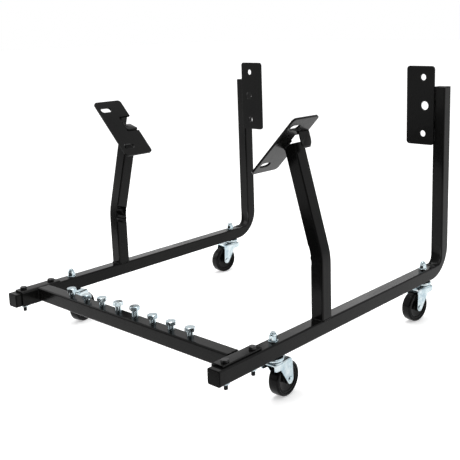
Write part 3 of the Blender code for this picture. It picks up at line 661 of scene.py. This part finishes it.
mountPlate = {
    "length": 0.2045, "width": 0.0975, "thickness": 0.006, "corner": 0.010, "overAxis": 0.0084,
    "sink": 0.0066, "rear": 0.0018, "notchFront": 0.0022, "notchLow": 0.0006, "gap": 0.0003,
    "relief": 0.0025, "notchCorner": 0.002, "notchRear": 0.0015, "tabBend": 0.014, "tabLength": 0.036,
    "tabCorner": 0.008, "slotLength": 0.036, "slotWidth": 0.0175, "slotReach": 0.07025,
    "slotForward": 0.021, "edge": 0.0006,
}
plateOrigin = postEnd + upPost * (mountPlate["sink"] / sin(pi / 2 + post["lean"] - plateAngle))
plateOrigin -= plateTurn @ Vector((mountPlate["overAxis"], 0, 0))
platePlace = Matrix.Translation(plateOrigin) @ plateTurn
faceError = (platePlace.inverted() @ Vector(faceMount["pos_m"])).z
print("plate face is", round(faceError * 1000, 3), "mm from its mount")


# the plate is cut round the post's top, and the metal of the notch is folded down as a tab on its outer side
def mountPlateShape():
    p = mountPlate
    half = tube["side"] / 2
    meet = pi / 2 + post["lean"] - plateAngle
    thick = p["thickness"]
    rear, front = half + p["rear"], half + p["rear"] - p["width"]
    notchFront = -half - p["notchFront"]
    low = p["overAxis"] - half / sin(meet) - thick / tan(meet) - p["notchLow"]
    fold = p["overAxis"] + half / sin(meet) + p["gap"] / sin(meet) + p["tabBend"] * tan(meet / 2)
    end = p["length"] / 2
    corner = p["corner"]
    points = [(end, front), (end, rear), (fold, rear), (fold, notchFront + p["relief"]), (fold, notchFront)]
    points += [(low, notchFront), (low, rear), (-end, rear), (-end, front)]
    radii = [corner, corner, 0, 0, 0, p["notchCorner"], p["notchRear"], corner, corner]
    outline = rounded(points, radii)
    bm = slab(outline, lambda a, b: (a, b, 0), (0, 0, -thick))
    middle = Vector((fold, (rear + notchFront + p["relief"]) / 2, -thick / 2))
    root = min(bm.faces, key=lambda face: (face.calc_center_median() - middle).length)
    faces = sweep(bm, [root], (fold, 0, -p["tabBend"]), (0, 1, 0), meet, 14)
    tip = extrude(bm, faces, Vector((-cos(meet), 0, -sin(meet))) * p["tabLength"])[0]
    ends = [edge for edge in tip.edges if abs((edge.verts[0].co - edge.verts[1].co).y) < 0.0001]
    bmesh.ops.bevel(
        bm, geom=ends, offset=p["tabCorner"], affect="EDGES", segments=8, profile=0.5, material=-1
    )
    slots = bmesh.new()
    across = (rear + front) / 2 - p["slotForward"]
    reach = (p["slotLength"] - p["slotWidth"]) / 2
    for along in (-p["slotReach"], p["slotReach"]):
        outline = arc((along, across + reach), p["slotWidth"] / 2, 0, pi, 20)
        outline += arc((along, across - reach), p["slotWidth"] / 2, pi, 2 * pi, 20)
        joinInto(slots, slab(outline, lambda a, b: (a, b, 0.01), (0, 0, -0.03)))
    bm = combined(bm, slots, "DIFFERENCE")
    soften(bm, p["edge"], 38)
    return moved(bm, platePlace)


for side, sign in sides.items():
    mirror = Matrix.Diagonal((sign, 1, 1, 1))
    tubeOf = moved(postShape(), mirror)
    addPiece("post_tube_" + side, tubeOf, blackPaint, "frame", ["post_" + side], 40)
    plate = moved(mountPlateShape(), mirror)
    replaced = ["engine_mount_plate_" + side]
    addPiece("mount_plate_" + side, plate, blackPaint, "frame", replaced)
print("posts and mount plates made")


# ------ bellhousing plates
def bellPlateShape():
    shape = {
        "corner": 0.010, "hole": 0.0095, "middle": 0.013, "edge": 0.037, "middleEdge": 0.0315,
        "spacing": 0.0843, "bevel": 0.0006,
    }
    low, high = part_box("bellhousing_plate_right")
    points = [(low.x, low.z), (high.x, low.z), (high.x, high.z), (low.x, high.z)]
    outline = rounded(points, [shape["corner"]] * 4, 8)
    bm = slab(outline, lambda a, b: (a, low.y, b), (0, high.y - low.y, 0))
    holes = bmesh.new()
    for level in (-1, 0, 1):
        radius, inset = (shape["hole"], shape["edge"]) if level else (shape["middle"], shape["middleEdge"])
        centre = Vector((high.x - inset, low.y, (low.z + high.z) / 2 + level * shape["spacing"]))
        joinInto(holes, moved(rod(radius, -0.02, 0.02, 48), Matrix.Translation(centre) @ turnX))
    return soften(combined(bm, holes, "DIFFERENCE"), shape["bevel"], 38)


for side, sign in sides.items():
    plate = moved(bellPlateShape(), Matrix.Diagonal((sign, 1, 1, 1)))
    replaced = ["bellhousing_plate_" + side]
    addPiece("bell_plate_" + side, plate, blackPaint, "frame", replaced)
print("bellhousing plates made")


# ------ welds
def weldsOfSide():
    shape = {
        "foot": 0.0022, "wideFoot": 0.00286, "bell": 0.0024, "seam": 0.0026, "crossSide": 0.0023,
        "crossTop": 0.0019, "mount": 0.0023,
    }
    half = tube["side"] / 2
    beads = []

    # round the foot of the post
    seat, foot, wideFoot = postLow.z, shape["foot"], shape["wideFoot"]
    front, rear = postY - half, postY + half
    inner, outer = postX - half, postX + half
    for y, seed in ((front - 0.0004, 1), (rear + 0.0004, 2)):
        beads.append(([(inner + 0.003, y, seat), (outer - 0.003, y, seat)], wideFoot, seed))
    for x, seed in ((outer - 0.0008, 3), (inner + 0.0008, 4)):
        beads.append(([(x, front + 0.004, seat), (x, rear - 0.004, seat)], foot, seed))

    # three short beads on the bellhousing plate's outer side, and one long one on its inner side
    bellLow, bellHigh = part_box("bellhousing_plate_right")
    edge = (bellHigh.x + 0.0005, bellHigh.y)
    for begin, length in ((0.012, 0.040), (0.075, 0.045), (0.135, 0.036)):
        path = [(*edge, bellLow.z + begin), (*edge, bellLow.z + begin + length)]
        beads.append((path, shape["bell"], begin * 100))
    seam = (railLow.x - 0.0004, bellHigh.y + 0.0006)
    beads.append(([(*seam, bellLow.z + 0.006), (*seam, capHigh.z - 0.008)], shape["seam"], 9))

    # round the end of the cross tube
    crossLow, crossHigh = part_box("cross_tube")
    end = crossHigh.x + 0.0002
    for y in (crossLow.y, crossHigh.y):
        path = [(end, y, z) for z in (crossLow.z + 0.004, crossHigh.z - 0.004)]
        beads.append((path, shape["crossSide"], y * 10))
    for z in (crossLow.z, crossHigh.z - 0.0009):
        path = [(end, y, z) for y in (crossLow.y + 0.004, crossHigh.y - 0.004)]
        beads.append((path, shape["crossTop"], z * 10))

    # between the post and the mount plate: under the plate, along its notch and above it
    p = mountPlate
    meet = pi / 2 + post["lean"] - plateAngle
    thick = p["thickness"]
    low, tab = p["overAxis"] - half / sin(meet) - thick / tan(meet), p["overAxis"] + half / sin(meet)
    under = [(low - 0.0004, y, -thick - 0.0008) for y in (-half + 0.003, half - 0.003)]
    along = [(x, -half - 0.0012, -thick - 0.0004) for x in (low + 0.004, low + 0.036)]
    above = [(x, -half - 0.0006, -0.0006) for x in (low + 0.006, tab - 0.012)]
    for number, path in enumerate((under, along, above)):
        beads.append(([platePlace @ Vector(point) for point in path], shape["mount"], 11 + number))

    bm = bmesh.new()
    for path, radius, seed in beads:
        joinInto(bm, weldBead(path, radius, seed))
    return bm


for side, sign in sides.items():
    welds = moved(weldsOfSide(), Matrix.Diagonal((sign, 1, 1, 1)))
    addPiece("welds_" + side, welds, weldPaint, "frame", smooth=50)
print("welds made")


# ------ casters, made with the swivel axis on Z, the rail's underside at Z = 0 and the trail along X
caster = {
    "trail": 0.038, "drop": 0.068, "gap": 0.0003, "slack": 0.0004, "stem": 0.006, "thread": 0.0017,
    "race": 0.025, "raceThickness": 0.0035, "raceWall": 0.0028, "raceCorner": 0.0032, "rim": 0.003,
    "groove": 0.0135, "grooveDepth": 0.0004, "ball": 0.00275, "balls": 18, "ballCircle": 0.0165,
    "kingpin": 0.0055, "kingpinHead": 0.0095, "sheet": 0.0025, "inside": 0.0367, "front": 0.022,
    "skirt": 0.014, "skirtCorner": 0.006, "bend": 0.005, "tip": 0.0115, "taper": 0.007, "brow": 0.001,
    "over": 0.004, "dish": 0.0215, "rise": 0.003, "axle": 0.004, "axleHead": 0.0075, "headHeight": 0.003,
}
raceUnder = -caster["gap"] - caster["raceThickness"]
forkTop = raceUnder - 2 * caster["gap"] - 2 * caster["ball"] - caster["rise"]
forkUnder = forkTop - caster["sheet"]


# the race is a cup open below, the kingpin's head is riveted under the fork, and the thread ends at the top
def stemShape(top):
    c = caster
    race, inside, corner, small = c["race"], c["race"] - c["raceWall"], c["raceCorner"], 0.0006
    rimLow, topLevel, groove = raceUnder - c["rim"], -c["gap"], c["groove"]
    disc = [(0, raceUnder), (inside, raceUnder), (inside, rimLow + 0.0005), (inside + small, rimLow)]
    disc += [(race - small, rimLow), (race, rimLow + small)]
    disc += arc((race - corner, topLevel - corner), corner, 0, pi / 2, 8)
    disc += [(groove + 0.0015, topLevel), (groove, topLevel - c["grooveDepth"])]
    disc += [(groove - 0.006, topLevel), (0, topLevel)]
    bm = turned(disc, 72)
    pin, head, level = c["kingpin"], c["kingpinHead"], forkUnder - c["gap"]
    rivet = [(0, level - 0.003), (head * 0.55, level - 0.0029), (head - 0.0008, level - 0.0017)]
    rivet += [(head, level - 0.0008), (head, level), (pin, level)]
    rivet += [(pin, raceUnder + 0.0005), (0, raceUnder + 0.0005)]
    joinInto(bm, turned(rivet, 48))
    threadStart = tube["side"] - 0.004
    joinInto(bm, rod(c["stem"], topLevel - 0.0005, threadStart + 0.0004, 40))
    threads = threaded(c["stem"], -top, -threadStart, c["thread"], 40)  # made upside down
    joinInto(bm, moved(threads, Matrix.Rotation(pi, 4, "X")))
    return bm


# a bent sheet cut to its side view, with a raised dish that bears on the balls
def forkShape():
    c = caster
    half = c["inside"] / 2 + c["sheet"]
    low = -c["drop"] - 2 * c["tip"]
    points = [(half, low), (half, forkTop), (-half, forkTop), (-half, low), (c["sheet"] - half, low)]
    points += [(c["sheet"] - half, forkUnder), (half - c["sheet"], forkUnder), (half - c["sheet"], low)]
    bend, inner = c["bend"], c["bend"] - c["sheet"]
    outline = rounded(points, [0, bend, bend, 0, 0, inner, inner, 0], 8)
    bm = slab(outline, lambda a, b: (-c["front"], a, b), (c["front"] + c["trail"] + 2 * c["tip"], 0, 0))
    tip = (c["trail"], -c["drop"])
    skirt = forkUnder - c["skirt"]
    brow = (c["brow"], skirt - c["sheet"])
    lean = atan2(tip[1] - brow[1], tip[0] - brow[0]) - pi / 2
    rear = c["trail"] + c["tip"]
    rearTop, over = rear - c["taper"], forkTop + c["over"]
    outline = rounded([(-c["front"], over), (-c["front"], skirt), brow], [0, c["skirtCorner"], 0])
    outline += arc(tip, c["tip"], lean, 0, 24)
    outline += [(rear - c["taper"] / 3, forkTop - 2 * bend), (rearTop, forkTop), (rearTop, over)]
    sideView = slab(outline, lambda a, b: (a, -half * 1.5, b), (0, half * 3, 0))
    bm = combined(bm, sideView, "INTERSECT")
    dish = [(0, forkTop - 0.001), (c["dish"], forkTop - 0.001)]
    dish += arc((c["dish"] - c["rise"], forkTop), c["rise"], 0, pi / 2, 8) + [(0, forkTop + c["rise"])]
    bm = combined(bm, turned(dish, 72), "UNION")
    bm = combined(bm, rod(c["kingpin"] + c["slack"], forkUnder - 0.01, 0.01, 48), "DIFFERENCE")
    atTip = Matrix.Translation((tip[0], 0, tip[1]))
    hole = moved(rod(c["axle"] + c["slack"], -0.04, 0.04, 40), atTip @ turnX)
    bm = combined(bm, hole, "DIFFERENCE")
    bmesh.ops.remove_doubles(bm, verts=bm.verts, dist=2e-6)
    return soften(bm, 0.0004, 40)


def axleShape():
    c = caster
    out = c["inside"] / 2 + c["sheet"] + c["gap"]
    head, high = c["axleHead"], c["headHeight"]
    dome = [(0, -high), (head * 0.5, -high), (head * 0.85, -high * 0.75), (head, -high * 0.3), (head, 0)]
    profile = [(radius, height - out) for radius, height in dome] + [(c["axle"], -out)]
    profile += [(radius, -height) for radius, height in reversed(profile)]
    return moved(turned(profile, 40), Matrix.Translation((c["trail"], 0, -c["drop"])) @ turnX)


# half of the outline runs from the bore out to the middle of the tread, and the other half mirrors it
def wheelShape():
    shape = {
        "radius": 0.04445, "half": 0.015, "hub": 0.0115, "hubHalf": 0.01775, "web": 0.010, "bore": 0.0044,
        "shoulder": 0.0060, "crown": 0.0002, "grooveIn": 0.0345, "groove": 0.0030, "rim": 0.0015,
    }
    radius, half, web = shape["radius"], shape["half"], shape["web"]
    bore, hub, hubHalf = shape["bore"], shape["hub"], shape["hubHalf"]
    rim, groove = half - shape["rim"], half - shape["groove"]
    grooveIn, shoulder = shape["grooveIn"], shape["shoulder"]
    side = [(bore, hubHalf - 0.0004), (bore + 0.0004, hubHalf)]
    side += [(hub - 0.0008, hubHalf), (hub, hubHalf - 0.0008)]
    side += [(hub + 0.0012, web + 0.0012), (hub + 0.0028, web), (0.0278, web), (0.0300, web + 0.0008)]
    side += [(0.0312, half - 0.0022), (0.0320, rim), (grooveIn, rim), (grooveIn + 0.0005, groove)]
    side += [(grooveIn + 0.0013, groove), (grooveIn + 0.0018, half - 0.0012)]
    side += arc((grooveIn + 0.0033, half - 0.0012), 0.0012, pi / 2 + 0.6, pi / 2, 3)
    side += arc((radius - shoulder, half - shoulder), shoulder, pi / 2, 0.35, 9)
    side += [(radius - shape["crown"], 0.0050), (radius, 0.0)]
    profile = side + [(out, -along) for out, along in reversed(side[:-1])]
    bm = turned(profile, 96, ring=True)
    return moved(bm, Matrix.Translation((caster["trail"], 0, -caster["drop"])) @ turnX)


def ballShapes():
    bm = bmesh.new()
    level, circle, count = raceUnder - caster["gap"] - caster["ball"], caster["ballCircle"], caster["balls"]
    for number in range(count):
        angle = 2 * pi * number / count
        place = Matrix.Translation((circle * cos(angle), circle * sin(angle), level))
        bmesh.ops.create_icosphere(bm, subdivisions=2, radius=caster["ball"], matrix=place)
    return bm


def washerShape(node):
    shape = {"bore": 0.0063, "edge": 0.0004, "topEdge": 0.0005}
    low, high, centre = boltAt(node)
    bore, edge, topEdge, outer = shape["bore"], shape["edge"], shape["topEdge"], (high.x - low.x) / 2
    ring = [(bore, low.z), (outer - edge, low.z), (outer, low.z + edge), (outer, high.z - topEdge)]
    ring += [(outer - topEdge, high.z), (bore + edge, high.z), (bore, high.z - edge)]
    return moved(turned(ring, 56, ring=True), Matrix.Translation(centre))


# a hexagon with the round collar that holds the locking ring
def lockNutShape(node, turnBy):
    shape = {"flats": 0.019, "bore": 0.0062, "collar": 0.0048, "lap": 0.0004, "lip": 0.0010}
    low, high, centre = boltAt(node)
    height, lip = high.z - low.z, shape["lip"]
    nut = hexBlock(shape["flats"], height - shape["collar"], shape["bore"])
    base = height - shape["collar"] - shape["lap"]
    collar = [(0.0066, base), (0.0086, base), (0.0084, base + 0.003)]
    collar += arc((0.0084 - lip, height - lip), lip, 0, pi / 2, 5) + [(0.0066, height)]
    joinInto(nut, turned(collar, 48, ring=True))
    seat = Matrix.Translation(centre + Vector((0, 0, low.z)))
    return moved(nut, seat @ Matrix.Rotation(radians(turnBy), 4, "Z"))


fork = forkShape()
wheel = wheelShape()
axle = axleShape()
balls = ballShapes()
nutTurns = {"front_right": 22, "front_left": 8, "rear_right": 35, "rear_left": 50}
for corner, nutTurn in nutTurns.items():
    swivel, roll = joints["swivel_" + corner], joints["roll_" + corner]
    heading = atan2(-roll["axis"][0], roll["axis"][1])  # where the wheel trails, from +X
    place = Matrix.Translation((swivel["pos_m"][0], swivel["pos_m"][1], railLow.z))
    turnBy = place @ Matrix.Rotation(heading, 4, "Z")
    stem = moved(stemShape(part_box("stem_" + corner)[1].z - railLow.z), place)
    addPiece("caster_stem_" + corner, stem, zinc, "frame", ["stem_" + corner])
    for name, shape in {"fork": fork, "axle": axle, "balls": balls}.items():
        turning = moved(shape.copy(), turnBy)
        node = ("swivel_balls_" if name == "balls" else name + "_") + corner
        addPiece("caster_%s_%s" % (name, corner), turning, zinc, "swivel_" + corner, [node])
    rolling = moved(wheel.copy(), turnBy)
    replaced = ["wheel_" + corner]
    addPiece("caster_wheel_" + corner, rolling, wheelBlack, "roller_" + corner, replaced)
    node = "stem_washer_" + corner
    addPiece("caster_washer_" + corner, washerShape(node), zinc, "frame", [node])
    node = "stem_lock_nut_" + corner
    addPiece("caster_lock_nut_" + corner, lockNutShape(node, nutTurn), zinc, "frame", [node])
for shape in (fork, wheel, axle, balls):
    shape.free()
print("casters made")


# ------ floor, light and camera
def makeFloor():
    bm = bmesh.new()
    bmesh.ops.create_grid(bm, x_segments=1, y_segments=1, size=30)
    mesh = bpy.data.meshes.new("studioFloor")
    bm.to_mesh(mesh)
    bm.free()
    look = Finish("paleFloor", Roughness=0.85, Emission_Color=(1, 1, 1, 1), Emission_Strength=0.40)
    tone = look.blend(look.noise(3.0, 3.0), (0.86, 0.86, 0.86), (0.90, 0.90, 0.90))
    mesh.materials.append(look.feed(Base_Color=tone))
    floor = bpy.data.objects.new("studio_floor", mesh)
    bpy.context.collection.objects.link(floor)


# a black card on the floor in front, which only reflections show
def makeCard():
    shape = {"low": (-1.6, -4.5), "high": (4.0, -0.72), "level": 0.002}
    bm = bmesh.new()
    (left, near), (right, far) = shape["low"], shape["high"]
    corners = ((left, near), (right, near), (right, far), (left, far))
    bm.faces.new([bm.verts.new((x, y, shape["level"])) for x, y in corners])
    mesh = bpy.data.meshes.new("blackCard")
    bm.to_mesh(mesh)
    bm.free()
    look = Finish("cardFelt", Base_Color=(0.02, 0.02, 0.02, 1), Roughness=1.0, Specular_IOR_Level=0.0)
    mesh.materials.append(look.material)
    card = bpy.data.objects.new("black_card", mesh)
    card.visible_camera = card.visible_diffuse = card.visible_shadow = False
    bpy.context.collection.objects.link(card)


# a pale room that is darker behind the camera. The camera itself sees it as plain white
def makeWorld():
    shape = {"darkest": 0.04, "darkFrom": 0.35, "darkTo": 0.97, "toward": (0.60, -0.79, 0.10)}
    world = bpy.data.worlds.new("studio")
    bpy.context.scene.world = world
    world.use_nodes = True
    tree = world.node_tree
    background = tree.nodes["Background"]
    direction = tree.nodes.new("ShaderNodeTexCoord").outputs["Generated"]
    split = tree.nodes.new("ShaderNodeSeparateXYZ")
    tree.links.new(direction, split.inputs[0])
    facing = sum(Number(tree, output) * part for output, part in zip(split.outputs, shape["toward"]))
    span = shape["darkTo"] - shape["darkFrom"]
    dark = (facing - shape["darkFrom"]) * (1 / span)
    dark = dark.math("MINIMUM", dark.math("MAXIMUM", dark, 0.0), 1.0)
    lit = 1 - (1 - shape["darkest"]) * dark
    seen = Number(tree, tree.nodes.new("ShaderNodeLightPath").outputs["Is Camera Ray"])
    strength = seen + (1 - seen) * lit
    tree.links.new(strength.socket, background.inputs["Strength"])
    background.inputs["Color"].default_value = (1, 1, 1, 1)


def makeSoftbox(name, place, aim, size, power):
    light = bpy.data.lights.new(name, "AREA")
    light.shape = "RECTANGLE"
    light.size, light.size_y = size
    light.energy = power
    holder = bpy.data.objects.new(name, light)
    holder.location = place
    holder.rotation_euler = (Vector(aim) - Vector(place)).to_track_quat("-Z", "Y").to_euler()
    bpy.context.collection.objects.link(holder)


def makeCamera():
    view = {"place": (1.5446, -1.5934, 0.8785), "lens": 61.028, "shift": (-0.1053, -0.1050)}
    right = Vector((0.75962, 0.64999, -0.02232))
    ahead = Vector((-0.64075, 0.74205, -0.19697))
    up = right.cross(ahead)
    camera = bpy.data.cameras.new("camera")
    camera.lens = view["lens"]
    camera.sensor_width = 36
    camera.shift_x, camera.shift_y = view["shift"]
    camera.clip_start, camera.clip_end = 0.05, 100
    holder = bpy.data.objects.new("camera", camera)
    turn = Matrix((right, up, -ahead)).transposed().to_4x4()
    holder.matrix_world = Matrix.Translation(view["place"]) @ turn
    bpy.context.collection.objects.link(holder)
    bpy.context.scene.camera = holder


makeFloor()
makeCard()
makeWorld()
makeSoftbox("overhead", (-0.3, 0.2, 3.2), (0, 0, 0.2), (1.8, 1.8), 52)
makeSoftbox("leftBox", (-3.0, -1.2, 1.6), (0, 0, 0.4), (0.8, 2.0), 12)
makeSoftbox("rightBox", (2.6, 1.4, 2.0), (0, 0, 0.4), (0.8, 2.0), 8)
makeCamera()
bpy.context.scene.view_settings.view_transform = "Standard"
print("stage made")
